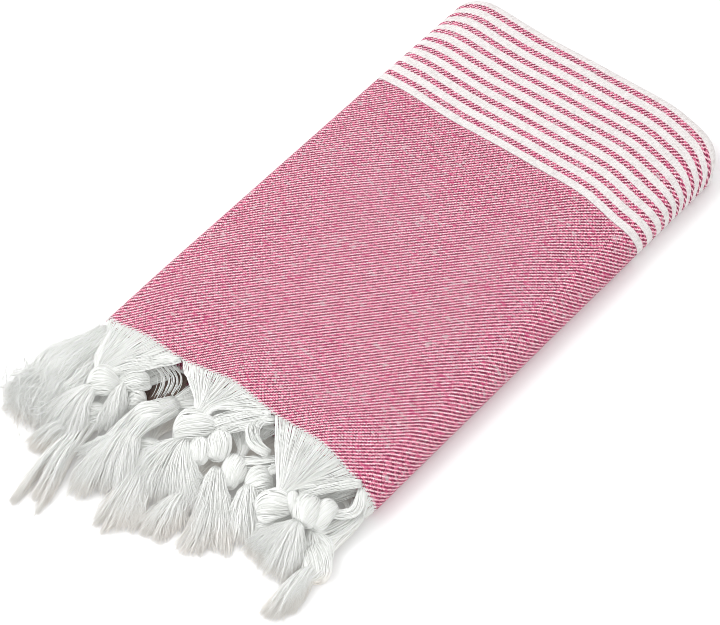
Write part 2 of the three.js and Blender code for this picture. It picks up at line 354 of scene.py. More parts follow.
def arcRun(centre, radius, startDegrees, endDegrees, steps):
    # centre + radius x (cos, sin) of evenly spaced angles, up to and without the last
    angles = np.radians(straightRun(startDegrees, endDegrees, steps))
    return centre[0] + radius * np.cos(angles), centre[1] + radius * np.sin(angles)


def sheetFace(side):
    # The lengthwise section of one face, half a thickness to one side of the middle line:
    # out along the top layer, back under it, out again and back.
    away = side * packSizes["thickness"] / 2
    nearFold = nearEdge + packSizes["nearFoldSetback"]
    top = straightRun(nearEdge, farTurn, clothSteps["top"])
    under = straightRun(farTurn, nearFold, clothSteps["layer"])
    back = straightRun(nearFold, farTurn, clothSteps["layer"])
    last = np.linspace(farTurn, nearEdge + packSizes["innerEndSetback"], clothSteps["layer"])
    turnTop = arcRun((farTurn, 0), outerLayer + away, 90, -90, clothSteps["farTurn"])
    turnNear = arcRun((nearFold, -layerPitch), innerLayer + away, -90, -270, clothSteps["smallTurn"])
    turnInner = arcRun((farTurn, 0), innerLayer - away, -90, 90, clothSteps["smallTurn"])
    pieces = [
        (top, np.full(len(top), outerLayer + away)),
        turnTop,
        (under, np.full(len(under), -outerLayer - away)),
        turnNear,
        (back, np.full(len(back), -innerLayer + away)),
        turnInner,
        (last, np.full(len(last), innerLayer - away)),
    ]
    return np.concatenate([y for y, h in pieces]), np.concatenate([h for y, h in pieces])


def widthRoute():
    # The way across the width through the four levels, as x, z and the direction of the
    # pack's height there: in along level 2, back along 3, in along 4, round and back along 1.
    first, second, third, fourth = levelHeight
    lead, trail = packSizes["selvedgeSetbacks"]
    small = levelPitch / 2
    rows = []

    def level(startX, endX, z, up, steps=clothSteps["level"]):
        # a straight run at height z
        x = straightRun(startX, endX, steps)
        rows.append((x, np.full(steps, z), np.zeros(steps), np.full(steps, up)))

    def turn(centre, radius, startDegrees, endDegrees, steps, outward):
        # an arc, where the pack's height points out along the radius, or in for -1
        x, z = arcRun(centre, radius, startDegrees, endDegrees, steps)
        rows.append((x, z, (x - centre[0]) * outward / radius, (z - centre[1]) * outward / radius))

    level(leftTurn - lead, rightTurn, second, 1.0)
    turn((rightTurn, (second + third) / 2), small, -90, 90, clothSteps["innerTurn"], -1.0)
    level(rightTurn, leftTurn, third, -1.0)
    turn((leftTurn, (third + fourth) / 2), small, -90, -270, clothSteps["leftTurn"], 1.0)
    level(leftTurn, rightTurn, fourth, 1.0, clothSteps["topLevel"])
    outer = 1.5 * levelPitch
    turn((rightTurn, (first + fourth) / 2), outer, 90, -90, clothSteps["outerTurn"], 1.0)
    level(rightTurn, leftTurn - trail, first, -1.0)
    rows.append(([leftTurn - trail], [first], [0.0], [-1.0]))
    return [np.concatenate(column) for column in zip(*rows)]


def runLength(first, second):
    # distance walked along a line, at each of its points
    return np.concatenate([[0], np.cumsum(np.hypot(np.diff(first), np.diff(second)))])


def clothPiece():
    # Section point (y, h) at route point (x, z) goes to (x + h upX, y, z + h upZ), settled.
    # The ring is the outer face and then the inner face backwards, so the sheet is closed.
    outerY, outerH = sheetFace(1)
    innerY, innerH = sheetFace(-1)
    alongLine = runLength(*sheetFace(0))
    ringY = np.concatenate([outerY, innerY[::-1]])[::-1]
    ringH = np.concatenate([outerH, innerH[::-1]])[::-1]
    ringV = np.concatenate([alongLine, alongLine[::-1]])[::-1]
    x, z, upX, upZ = widthRoute()
    routeU = runLength(x, z)
    points = settle(x[:, None] + ringH * upX[:, None], ringY + 0 * x[:, None],
                    z[:, None] + ringH * upZ[:, None])
    stations, ringSize = points.shape[:2]
    number = np.arange(stations * ringSize).reshape(stations, ringSize)
    ahead = np.roll(number, -1, 1)
    sides = np.stack([number[:-1], ahead[:-1], ahead[1:], number[1:]], -1).reshape(-1, 4)
    half = ringSize // 2
    pairs = np.stack([np.arange(half - 1), np.arange(1, half), ringSize - 2 - np.arange(half - 1),
                      ringSize - 1 - np.arange(half - 1)], -1)
    faces = np.concatenate([sides, pairs[:, ::-1], pairs + (stations - 1) * ringSize])
    uv = np.stack(np.broadcast_arrays(routeU[:, None], ringV[None]), -1).reshape(-1, 2)
    return addMesh("woven_cloth", points.reshape(-1, 3), [faces], [uv[faces.ravel()]], "sheet")


clothWeave = {
    "repeatAcross": 3.2,  # of the twill: four warp yarns, in two pairs
    "repeatAlong": 3.66,  # four weft yarns
    "stripeAlong": 4.3,  # the same in the stripes
    "bandStart": 304.5,  # from the fringed edge
    "bandEnd": 421,
    "bandEdge": 0.3,
    "firstPink": 314,  # the middle of the first pink stripe
    "lastPink": 411.6,
    "stripePitch": 12.2,
    "pinkHalf": 2.7,
    "pinkEdge": 0.5,
    "ragged": 1.2,  # how far the stripes' edges wander
    "raggedSize": (2.1, 9),  # sizes of random patches are millimetres across and along
    "flatLength": 1622,
    "floatMiddle": 0.27,  # share of the repeat at which a warp yarn lies on top
    "floatEdge": (0.15, 0.23),  # how far from there it dives
    "pairGap": (0.62, 0.98),  # from the middle of a pair of yarns to the gap beside it
    "warpRound": 0.35,  # heights as shares of the relief
    "gapDepth": 0.5,
    "weftTop": 0.55,
    "weftRound": 0.4,
    "relief": 0.00028,  # metres
    "weftPatch": 5,
    "warpPatch": 7,
    "cloudPatch": 22,
    "dashSize": (2.3, 2.2),  # in yarns across and along
    "dashCut": (0.46, 0.6),
    "paleSize": (1.7, 2.6),
    "paleCut": (0.34, 0.66),
    "spotSize": (5.5, 3.4),
    "crimsonCut": (0.575, 0.65),
    "fadedCut": (0.42, 0.34),
    "spotShare": 0.6,
    "plainCut": (0.3, 0.6),
    "edgeRow": (0.6, 2.6),  # the white stitches along the fringed edge
    "warp": (0.76, 0.31, 0.41, 1),
    "warpPale": (0.95, 0.76, 0.79, 1),
    "weft": (0.64, 0.13, 0.24, 1),
    "weftDeep": (0.12, 0.004, 0.028, 1),
    # painted shade: the near-black red laid in the gaps between pairs of warp yarns
    "gap": (0.17, 0.008, 0.035, 1),
    "crimson": (0.48, 0.02, 0.13, 1),
    "faded": (0.55, 0.45, 0.47, 1),
    "white": (0.75, 0.72, 0.71, 1),
    "whiteShade": (0.60, 0.56, 0.55, 1),
    "roughness": 0.88,
    "specular": 0.25,
    "sheen": (0.12, 0.5),  # weight and roughness
}


def patches(u, v, size, detail, shift=0):
    # noise of features as wide and as long as the two sizes
    return noise((u / size[0] + shift).place(v / size[1]), detail)


def fromMiddle(value):
    # how far a value is from the middle of its whole step: 0 in the middle and 1 at both ends
    return (value.math("FRACT") * 2 - 1).math("ABSOLUTE")


def clothMaterial(weave):
    # 2/2 twill: a warp yarn is on top where fract(its number / 4 - v / repeat) is under a half,
    # and the weft shows elsewhere. White weft makes the white stripes near both ends.
    material, u, v = startMaterial("pink_twill", "sheet")
    yarns = u * (4 / weave["repeatAcross"])
    warpNumber = yarns.math("FLOOR")
    fromEnd = v.math("MINIMUM", weave["flatLength"] - v)
    soft = weave["bandEdge"]
    inBand = fromEnd.step(weave["bandStart"] - soft, weave["bandStart"] + soft)
    inBand = inBand * (1 - fromEnd.step(weave["bandEnd"] - soft, weave["bandEnd"] + soft))
    stripeShare = ((fromEnd - weave["firstPink"]) / weave["stripePitch"] + 0.5).math("FRACT")
    fromPink = (stripeShare - 0.5).math("ABSOLUTE") * weave["stripePitch"]
    ragged = patches(u, v, weave["raggedSize"], 1.0) * weave["ragged"] - weave["ragged"] / 2
    # past the last pink stripe nothing is near a pink one
    fromPink = fromPink + 9 * fromEnd.step(weave["lastPink"] + 5, weave["lastPink"] + 6)
    soft = weave["pinkEdge"]
    pinkRow = 1 - (fromPink + ragged).step(weave["pinkHalf"] - soft, weave["pinkHalf"] + soft)
    white = inBand * (1 - pinkRow)

    rise = v * (1 - inBand) / weave["repeatAlong"] + v * inBand / weave["stripeAlong"]
    turned = (warpNumber * 0.25 - rise + 1000).math("FRACT")
    warpUp = 1 - (turned - weave["floatMiddle"]).math("ABSOLUTE").step(*weave["floatEdge"])
    inYarn = fromMiddle(yarns)
    inWeft = fromMiddle(rise * 4)
    pairGap = fromMiddle(yarns * 0.5).step(*weave["pairGap"])
    warpHeight = 1 - weave["warpRound"] * inYarn * inYarn - weave["gapDepth"] * pairGap
    weftHeight = weave["weftTop"] - weave["weftRound"] * inWeft * inWeft
    height = warpUp * warpHeight + (1 - warpUp) * weftHeight

    weftNumber = (rise * 4).math("FLOOR")
    weftTone = noise((u / weave["weftPatch"]).place(weftNumber * 3.7), 2.0)
    warpTone = noise((warpNumber * 2.9).place(v / weave["warpPatch"]), 2.0)
    cloudy = patches(u, v, (weave["cloudPatch"], weave["cloudPatch"]), 3.0)
    dashes = patches(yarns, rise * 4, weave["dashSize"], 1.0).step(*weave["dashCut"])
    weft = (dashes * 0.8 + weftTone * 0.2).colour(weave["weftDeep"], weave["weft"])
    pale = warpTone * 0.35 + patches(yarns, rise * 4, weave["paleSize"], 1.0, 40) * 0.65
    warp = pale.step(*weave["paleCut"]).colour(weave["warp"], weave["warpPale"])
    # painted shade: the gaps between pairs of warp yarns turn half way to the gap colour, except where
    # the dark dashes lie
    twill = (pairGap * 0.5 * (1 - dashes)).colour(warpUp.colour(weft, warp), weave["gap"])
    spots = patches(u, v, weave["spotSize"], 2.0, 7) * 0.75 + cloudy * 0.25
    for cut, tint in (("crimsonCut", "crimson"), ("fadedCut", "faded")):
        twill = (spots.step(*weave[cut]) * weave["spotShare"]).colour(twill, weave[tint])
    plain = (warpTone * 0.5 + weftTone * 0.5).step(*weave["plainCut"])
    plain = plain.colour(weave["whiteShade"], weave["white"])
    stitch = (turned - 0.75).math("ABSOLUTE").step(0.1, 0.2)
    edge = (1 - v.step(*weave["edgeRow"])) * stitch
    colour = edge.colour(white.colour(twill, plain), weave["white"])
    bump = u.node("ShaderNodeBump", {}, {"Strength": 1.0, "Distance": weave["relief"],
                                         "Height": height})
    finishMaterial(u, colour, bump, weave)
    return material


cloth = clothPiece()
cloth.data.materials.append(clothMaterial(clothWeave))
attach(cloth, "root")
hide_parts("towel_cloth")
print("cloth folded,", triangleCount(cloth), "triangles")


# The fringe: twelve tassels of white yarn, each a fan from the edge, a knot and a brush.
fringe = {
    "fanYarns": 176,
    "fanRadius": 0.33,
    "fanLift": 1.9,  # half the depth of a fan at its neck
    "rootDepth": 1.0,  # how far inside the cloth's edge the yarns start
    "toothDepth": 1.1,  # the edge's small teeth, and how far apart they are
    "toothPitch": 3.1,
    "lobeYarns": 96,
    "lobeRadius": 0.38,
    "lobeCore": 0.72,  # girth of the egg under the yarns, as a share of the lobe's
    "coreTone": 0.4,
    "coreClear": 0.3,  # of the floor
    "bandRadius": 0.33,
    "bandTurn": 1.1,  # radians that a band's yarns wind round it
    "hangingLoose": 0.5,
    "brushRadius": 0.31,
    "brushThin": 0.4,  # radius at a yarn's tip, as a share of the rest
    "mouthDepth": 3.4,
    "brushBody": 4.8,  # half the depth of a brush in its middle
    "tuftWidth": 3.4,  # mm of a brush's cut end that hang together
    "frayed": 1.5,  # how far the cut ends of its yarns part, in mm
    "closed": 0.4,  # how far a tuft's yarns close up, where a brush doesn't say
    "crinkle": 0.5,
    "stray": 0.09,  # share of yarns that wander, and how far in a fan and in a brush
    "strayFan": 1.8,
    "calmFan": 0.5,
    "strayBrush": 4.2,
    "fluffRadius": 0.16,  # of the loose fibres that stand off a brush
    "fluffThin": 0.5,
    "fluffPerYarn": 0.3,
    "fluffLong": (5, 12),
    "fluffOut": (1.5, 4.5),
    "seed": 7,
}

# Places are (x, d, z), with d the distance out from the pack's nominal near edge. A tassel takes
# the cloth's edge over its span, from the edge's start, to a neck as wide as it is gathered. A
# lobe of the knot is (x, d, z, half length, half width, half height, turn in degrees, sag of its
# two ends), and a band is a path of (x, d, z, half width, half depth). A brush goes from the
# knot, over a raised middle, to a row of tips. Shadowed bands are painted shadow: their yarns
# are coloured dark brown where the fringe lies in shade.
tassels = {
    "01": {
        "span": (2, 66), "neck": (-84, 47, 9.5), "gather": 5,
        "lobes": [(-82, 66, 9, 12, 10, 8, 60, 0.3)],
        "bands": [((-82, 66, 9, 9, 6), (-79, 86, 8, 8, 6), (-78, 103, 7, 8, 5), (-77, 118, 5, 9, 4))],
        "brushes": [
            {"from": (-78, 92, 8), "over": (-77, 108, 8), "mouth": 7, "yarns": 460, "tufts": 4,
             "closed": 0.75, "tips": [(-84, 152, 1), (-75, 154, 1), (-71, 149, 1), (-66, 149, 1),
             (-59, 153, 1), (-56, 149, 1), (-60, 140, 1), (-57, 134, 1)]},
        ],
    },
    "02": {
        "span": (66, 150), "neck": (20, 20, 14), "gather": 5,
        "lobes": [(26.5, 37.5, 13.5, 11.5, 9.5, 8, 130, 0.5), (30, 45, 11, 8, 7, 6, 120, 0.3)],
        "brushes": [
            {"from": (19, 47, 13), "over": (30, 62, 13), "mouth": 3.5, "yarns": 420, "tips": [(27, 85, 5),
             (34, 90, 4), (44, 88, 4), (52, 85, 4), (61, 82, 4), (66, 77, 4)]},
            {"from": (26, 56, 7), "over": (44, 78, 7), "mouth": 5, "yarns": 380, "tips": [(34, 107, 2),
             (41, 111, 1), (50, 111, 1), (53, 104, 1), (52, 99, 1), (60, 97, 1), (66, 95, 1),
             (70, 90, 1)]},
        ],
    },
    "03": {
        "span": (150, 228), "neck": (78, 44, 9), "gather": 5,
        "lobes": [(77, 58, 8, 11, 9, 7.4, 20, 0.3)],
        "brushes": [
            {"from": (77, 62, 7), "over": (79, 70, 6), "mouth": 6, "yarns": 260, "tips": [(71, 78, 3),
             (79, 82, 2), (87, 83, 2), (94, 80, 2)]},
        ],
    },
    "04": {
        "span": (241, 312), "neck": (54, 25, 19), "gather": 5,
        "lobes": [(48.4, 36, 16.5, 10.5, 10, 8.5, 42, 0.7)],
        "bands": [((62, 6, 16, 6, 4), (52, 16, 16.5, 6, 5), (40, 26, 15.5, 6, 5), (30, 32, 14, 5, 4))],
        "brushes": [
            {"from": (46, 43, 13), "over": (55, 58, 14), "mouth": 4.5, "yarns": 420, "tips": [(50, 72, 5),
             (60, 80, 4), (69, 80, 4), (75, 74, 5), (76, 64, 6), (68, 52, 9)]},
        ],
    },
    "05": {
        "span": (312, 391), "neck": (-40, 27, 17), "gather": 6,
        "lobes": [(-47, 47, 19.5, 14, 11, 8.6, 78, 0.5), (-65, 38.5, 13, 7, 8, 7, 40, 0.3)],
        "bands": [
            ((-38, 25, 16, 8, 5), (-43, 39, 18, 9.5, 7), (-47, 54, 19, 10, 7.5), (-48, 68, 18, 10, 7),
             (-48, 80, 15, 11, 6)),
        ],
        # painted shadow: a band of yarns coloured dark brown behind the hanging yarns
        "shadowed": [
            ((-60, 2, 15, 12, 2.5), (-60, 14, 11, 13, 2.5), (-59, 26, 8, 12, 3), (-58, 37, 5, 10, 3)),
        ],
        "hanging": {"from": [(-74, 16, 23), (-58, 2, 23)], "over": [(-63, 18, 16), (-48, 6, 17)],
                    "to": [(-60, 36, 7), (-46, 22, 7)], "yarns": 24},
        "brushes": [
            {"from": (-48, 62, 18), "over": (-46, 85, 17), "mouth": 8, "yarns": 640,
             "tips": [(-58, 119, 3), (-50, 126, 2), (-41, 121, 2), (-39, 113, 4), (-34, 109, 4),
             (-27, 110, 4), (-21, 108, 4), (-20, 97, 6), (-22, 86, 9)]},
            {"from": (-50, 72, 16), "over": (-58, 84, 15), "mouth": 2.5, "yarns": 70, "tufts": 2,
             "tips": [(-70, 97, 10), (-66, 99, 9), (-62, 98, 8)]},
        ],
    },
    "06": {
        "span": (391, 470), "neck": (-117, 20, 22), "gather": 7, "crinkle": 1.9,
        "lobes": [(-125, 50, 18, 15, 11, 8.6, 70, 0.5)],
        "bands": [
            ((-116, 12, 22, 8, 5), (-118, 26, 21.5, 9, 6.5), (-124, 42, 20, 12, 8), (-129, 57, 17, 13, 8),
             (-129, 70, 14, 12, 7)),
            ((-112, 14, 20, 7, 5), (-108, 32, 18, 9, 6), (-109, 50, 16, 10, 7), (-112, 68, 13, 11, 6)),
        ],
        "brushes": [
            {"from": (-123, 58, 16), "over": (-128, 80, 15), "mouth": 13, "yarns": 620, "crinkle": 2,
             "tips": [(-143, 80, 6), (-143, 94, 3), (-138, 102, 2), (-128, 104, 2), (-119, 102, 3),
             (-110, 99, 4), (-104, 93, 6), (-103, 82, 9)]},
            {"from": (-90, 88, 10), "over": (-96, 99, 9), "mouth": 5, "yarns": 150,
             "tips": [(-105, 112, 3), (-98, 115, 2), (-92, 113, 2), (-86, 112, 3)]},
        ],
    },
    "07": {
        "span": (470, 540), "neck": (-96, 37, 27.5), "gather": 10.5,
        "lobes": [(-89, 46.5, 24, 11.8, 11.5, 9, 40, 0.7), (-74, 31, 21.5, 12, 7.8, 7.6, 38, 0.4)],
        "bands": [
            ((-56, 1, 30, 2.5, 1.6), (-70, 17, 29, 4, 2.6), (-84, 31, 27, 5, 3.4), (-90, 40, 25, 4, 3)),
        ],
        "brushes": [
            {"from": (-92, 54, 21), "over": (-94, 76, 19), "mouth": 3.5, "yarns": 520,
             "tips": [(-113, 84, 9), (-109, 93, 7), (-98, 97, 7), (-87, 97, 7), (-79, 95, 8),
             (-75, 88, 9), (-77, 77, 11)]},
            {"from": (-77, 39, 21), "over": (-71, 56, 20), "mouth": 3, "yarns": 330,
             "tips": [(-75, 74, 10), (-68, 75, 9), (-62, 71, 10), (-62, 60, 12), (-64, 51, 14)]},
        ],
    },
    "08": {
        "span": (540, 623), "neck": (-15, 20, 30), "gather": 8,
        "lobes": [(-14, 34, 24.5, 16, 10, 8.8, 62, 0.6), (1, 45, 20, 10, 9, 8, 125, 0.5),
                  (8.5, 33, 21, 12, 9.6, 8.6, 118, 0.5)],
        "bands": [
            ((24, -5, 29, 3, 1.8), (13, 6, 28, 4.5, 3), (2, 17, 26.5, 5, 3.5), (-5, 25, 24, 4.5, 3)),
            ((26, -2, 26, 3, 2), (15, 11, 25, 4, 3), (5, 22, 23, 5, 4), (2, 30, 21, 5, 4)),
        ],
        "brushes": [
            {"from": (-12, 47, 19), "over": (-9, 68, 19), "mouth": 5, "yarns": 800,
             "tips": [(-31, 76, 11), (-24, 87, 9), (-11, 93, 7), (-2, 94, 6), (6, 90, 5), (15, 87, 5),
             (24, 85, 4), (28, 80, 5), (26, 70, 7), (17, 58, 11)]},
        ],
    },
    "09": {
        "span": (623, 706), "neck": (74, 36, 29), "gather": 7,
        "lobes": [(73, 47.5, 23, 14, 11, 8.8, 62, 0.6), (93, 36, 22.5, 12, 9.8, 8.8, 118, 0.5),
                  (103, 30, 21, 12.5, 9.4, 8.6, 98, 0.6), (82, 39, 25, 8, 4.5, 6.5, 130, 0.4)],
        "bands": [
            ((110, -1, 28, 3, 1.8), (101, 8, 28, 4.5, 3), (91, 20, 27.5, 5, 3.5), (82, 32, 26, 4.5, 3)),
            ((29, -4, 28, 3, 1.6), (21, 4, 26.5, 4.6, 3), (22, 13, 25, 5, 3), (31, 19, 23, 4.6, 3),
             (42, 18, 22, 3, 2)),
            ((112, 0, 24, 2.6, 1.8), (118, 13, 19, 4, 2.6), (112, 22, 17, 4, 3), (102, 26, 17, 4, 3)),
        ],
        "brushes": [
            {"from": (94, 48, 19), "over": (96, 63, 18), "mouth": 4, "yarns": 720, "tips": [(71, 77, 8),
             (78, 80, 7), (87, 79, 6), (93, 86, 4), (100, 88, 3), (106, 85, 3), (113, 83, 3),
             (113, 73, 6), (112, 63, 9)]},
        ],
    },
    "10": {
        "span": (706, 789), "neck": (117, 14, 9), "gather": 6,
        "lobes": [(119, 56, 8.6, 16, 9.8, 8, -50, 0.9)],
        "bands": [
            ((112, 3, 11, 5, 4), (118, 17, 9.5, 6, 5), (113, 33, 9, 6.5, 5), (106, 44, 8.5, 6, 5),
             (112, 52, 8, 6, 5)),
            ((108, 42, 9, 4, 4), (119, 46, 9, 5, 4.5), (125, 57, 8, 5, 4.5), (125, 67, 6.5, 5, 4.5),
             (120, 74, 6, 5, 4)),
        ],
        "brushes": [
            {"from": (120, 64, 7), "over": (122, 84, 7), "mouth": 7, "yarns": 560, "tips": [(115, 112, 1),
             (121, 115, 1), (128, 113, 1), (129, 103, 1), (132, 98, 1), (131, 88, 1)]},
        ],
    },
    "11": {
        "span": (789, 872), "neck": (10, 54, 4), "gather": 4.6,
        "lobes": [(10, 68, 7.6, 10, 8.5, 7.2, 20, 0.3)],
        "brushes": [
            {"from": (12, 72, 7), "over": (12, 94, 6), "mouth": 6, "yarns": 380, "tips": [(2, 121, 2),
             (9, 117, 2), (19, 118, 1), (26, 110, 1), (28, 100, 2), (29, 89, 3)]},
        ],
    },
    "12": {
        "span": (872, 958), "neck": (-40, 46, 4), "gather": 4.6,
        "lobes": [(-33, 62, 8, 11, 8.5, 7.6, 30, 0.3)],
        "brushes": [
            {"from": (-26, 70, 7), "over": (-16, 100, 6), "mouth": 7, "yarns": 460,
             "tips": [(-26, 124, 2), (-20, 133, 1), (-11, 135, 1), (-4, 128, 2), (3, 122, 2),
             (6, 112, 3)]},
        ],
    },
}


def placeOf(place):
    # the (x, d, z) that a row starts with, as a point of the pack: y = near edge - d
    return np.array([place[0], nearEdge - place[1], place[2]], float)


def edgeAt(distance):
    # The middle of the fringed edge at a distance along the width: the route's point there,
    # out by the outer layer, settled.
    x, z, upX, upZ = widthRoute()
    line = runLength(x, z)
    spot = [np.interp(distance, line, column) for column in (x, z, upX, upZ)]
    length = np.hypot(spot[2], spot[3])
    return settle(spot[0] + outerLayer * spot[2] / length, np.full(len(distance), float(nearEdge)),
                  spot[1] + outerLayer * spot[3] / length)


def unit(vectors):
    # each vector divided by its length
    return vectors / np.maximum(np.linalg.norm(vectors, axis=-1, keepdims=True), 1e-9)


def throughPoints(points, shares):
    # A Catmull-Rom curve through the points of each row: points is rows x knots x 3.
    knots = points.shape[1]
    before = 2 * points[:, :1] - points[:, 1:2]
    after = 2 * points[:, -1:] - points[:, -2:-1]
    padded = np.concatenate([before, points, after], 1)
    spot = np.clip(shares, 0, 0.99999) * (knots - 1)
    span = spot.astype(int)
    s = (spot - span)[None, :, None]
    a, b, c, d = (padded[:, span + step] for step in range(4))
    return 0.5 * (2 * b + (c - a) * s + (2 * a - 5 * b + 4 * c - d) * s ** 2
                  + (3 * b - a - 3 * c + d) * s ** 3)


def wander(random, count, shares, size, slow=0.7, fast=2.4):
    # two sine waves of random phase in each direction, as far as the size allows at each share
    phase = random.uniform(0, 2 * np.pi, (2, count, 1, 3))
    pace = random.uniform(slow, fast, (2, count, 1, 3)) * 2 * np.pi
    waves = np.sin(pace * shares[None, None, :, None] + phase)
    return (waves[0] * 0.65 + waves[1] * 0.35) * size


def onFloor(paths, radius, random):
    # heights under a millimetre of clearance level off exponentially above the floor
    share = np.linspace(0, 1, paths.shape[1])
    low = radius + 0.1 + random.uniform(0, 1.4, len(paths))[:, None] * share
    rise = paths[..., 2] - low - 1
    paths[..., 2] = np.where(rise < 0, low + np.exp(np.minimum(rise, 0)), paths[..., 2])
    return paths


def ringFaces(count, stations, sides):
    # quads between each ring of a tube and the next, and a polygon over each end
    number = np.arange(count * stations * sides).reshape(count, stations, sides)
    after = np.roll(number, -1, 2)
    quads = np.stack([number[:, :-1], after[:, :-1], after[:, 1:], number[:, 1:]], -1)
    return quads, np.concatenate([number[:, 0, ::-1], number[:, -1]])


def yarnTubes(paths, radii, sides):
    # Corners of a ring = path point + radius x (cos x side + sin x up), with the side carried
    # along the path without twist. Returns points, face groups and UVs (share round, mm along).
    count, stations = paths.shape[:2]
    ahead = unit(np.gradient(paths, axis=1))
    side = np.zeros_like(paths)
    carried = np.cross(ahead[:, 0], [0.13, 0.21, 0.97])
    for station in range(stations):
        carried = carried - (carried * ahead[:, station]).sum(-1, keepdims=True) * ahead[:, station]
        carried = unit(carried)
        side[:, station] = carried
    up = np.cross(ahead, side)
    turns = 2 * np.pi * np.arange(sides) / sides
    ring = side[:, :, None] * np.cos(turns)[:, None] + up[:, :, None] * np.sin(turns)[:, None]
    points = paths[:, :, None] + ring * radii[:, :, None, None]
    quads, caps = ringFaces(count, stations, sides)
    walked = np.cumsum(np.linalg.norm(np.diff(paths, axis=1, prepend=paths[:, :1]), axis=-1), 1)
    low = np.broadcast_to(walked[:, :-1, None], quads.shape[:3])
    high = np.broadcast_to(walked[:, 1:, None], quads.shape[:3])
    left = np.broadcast_to(np.arange(sides) / sides, quads.shape[:3])
    uv = np.stack([np.stack([left, low], -1), np.stack([left + 1 / sides, low], -1),
                   np.stack([left + 1 / sides, high], -1), np.stack([left, high], -1)], -2)
    capUv = np.zeros((len(caps), sides, 2))
    corners = [uv.reshape(-1, 2), capUv.reshape(-1, 2)]
    return points.reshape(-1, 3), [quads.reshape(-1, 4), caps], corners


def fanPaths(tassel, across, random):
    # Catmull-Rom from the edge by a bend to the neck's bundle and on into the knot.
    count = fringe["fanYarns"]
    share = (np.arange(count) + 0.5) / count
    spread = 2 * share - 1
    start, end = tassel["span"]
    root = edgeAt(blend(start, end, share) + random.uniform(-0.2, 0.2, count))
    ends = edgeAt(np.array([start, end], float))
    facing = np.sign((ends[1] - ends[0]) @ across)
    neck = placeOf(tassel["neck"])
    heart = placeOf(tassel["lobes"][0])
    lift = random.uniform(-1, 1, count) * fringe["fanLift"] * np.sqrt(1 - 0.85 * spread ** 2)
    aside = (facing * tassel["gather"] * spread)[:, None] * across
    gathered = neck + aside + lift[:, None] * np.array([0, 0, 1])
    held = heart + aside * 0.8 + lift[:, None] * np.array([0, 0, 0.7])
    bend = blend(root, gathered, 0.4)
    bend[:, 2] = blend(root[:, 2], gathered[:, 2], 0.15) + random.uniform(-0.7, 0.7, count)
    teeth = np.sin(2 * np.pi * blend(start, end, share) / fringe["toothPitch"])
    root[:, 1] += fringe["rootDepth"] + fringe["toothDepth"] * np.clip(teeth, 0, 1)
    root[:, 2] += random.uniform(-0.2, 0.3, count)
    shares = np.linspace(0, 1, 12)
    paths = throughPoints(np.stack([root, bend, gathered, held], 1), shares)
    loose = np.sin(np.pi * np.clip(shares * 1.3, 0, 1))[None, :, None]
    stray = random.random(count) < fringe["stray"]
    size = loose * np.where(stray, fringe["strayFan"], fringe["calmFan"])[:, None, None]
    return paths + wander(random, count, shares, size)


def bandPaths(band, crinkle, random):
    # Yarns side by side along a path: each keeps its place in an oval of the path's half width
    # and half depth, and the oval slowly turns.
    rows = np.array([[*placeOf(row), row[3], row[4]] for row in band])
    count = int(16 * rows[:, 3].max())
    shares = np.linspace(0, 1, 13)
    line = throughPoints(rows[None], shares)[0]
    ahead = unit(np.gradient(line[:, :3], axis=0))
    side = unit(np.cross(ahead, [0, 0, 1.0]))
    up = np.cross(side, ahead)
    reach = 0.55 + 0.45 * random.random(count) ** 0.5
    turned = random.uniform(0, 2 * np.pi, count)[:, None] + fringe["bandTurn"] * shares
    reach = reach[:, None] * (1 + 0.12 * np.sin(3 * turned))
    paths = line[:, :3] + (reach * np.cos(turned) * line[:, 3])[..., None] * side
    paths = paths + (reach * np.sin(turned) * line[:, 4])[..., None] * up
    return paths + wander(random, count, shares, crinkle, 1.5, 4)


def hangingPaths(hanging, random):
    # Loose yarns in a curtain: each keeps its share of the way across from the first line,
    # over the second, to the third.
    count = hanging["yarns"]
    share = np.sort(random.random(count))[:, None]
    lines = [[placeOf(place) for place in hanging[line]] for line in ("from", "over", "to")]
    knots = np.stack([blend(start, end, share) for start, end in lines], 1)
    shares = np.linspace(0, 1, 13)
    knots = knots + random.normal(0, fringe["hangingLoose"], knots.shape)
    return throughPoints(knots, shares) + wander(random, count, shares, 0.4)


def eggPoints(lobe, t, along, wide, high):
    # (along, wide) turned by the lobe's angle, and high less sag x half height x cos^2 t
    halfHigh, turn, sag = lobe[5:]
    angle = math.radians(turn)
    turned = np.stack([along * math.cos(angle) - wide * math.sin(angle),
                       along * math.sin(angle) + wide * math.cos(angle),
                       high - sag * halfHigh * np.cos(t) ** 2], -1)
    return placeOf(lobe) + turned


def lobePaths(lobe, random):
    # Meridians of an egg: along its length by cos t, out from it by sin t, with both ends sunk
    # and the surface drawn in where its strands lie against each other.
    halfLong, halfWide, halfHigh = lobe[3:6]
    count = fringe["lobeYarns"]
    t = np.linspace(0.15, np.pi - 0.15, 15)[None, :]
    around = 2 * np.pi * (np.arange(count) + random.uniform(-0.5, 0.5, count))[:, None] / count
    skew, first, second = random.uniform(-0.8, 0.8), *random.uniform(0, 2 * np.pi, 2)
    around = around + skew * np.cos(t) + wander(random, count, t[0] / np.pi, 0.07)[..., 0]
    groove = np.abs(np.sin(1.5 * around + first)) ** 0.35 * 0.2
    groove = groove + 0.09 * np.sin(around * 2 + second + 2 * t)
    out = np.sin(t) ** 0.7 * (1 + 0.15 * np.cos(t + first)) * (0.83 + groove)
    out = out * (1 + wander(random, count, t[0] / np.pi, 0.03)[..., 1])
    along = -halfLong * np.cos(t) * (1 + 0.05 * np.sin(around + first))
    return eggPoints(lobe, t, along, halfWide * out * np.cos(around), halfHigh * out * np.sin(around))


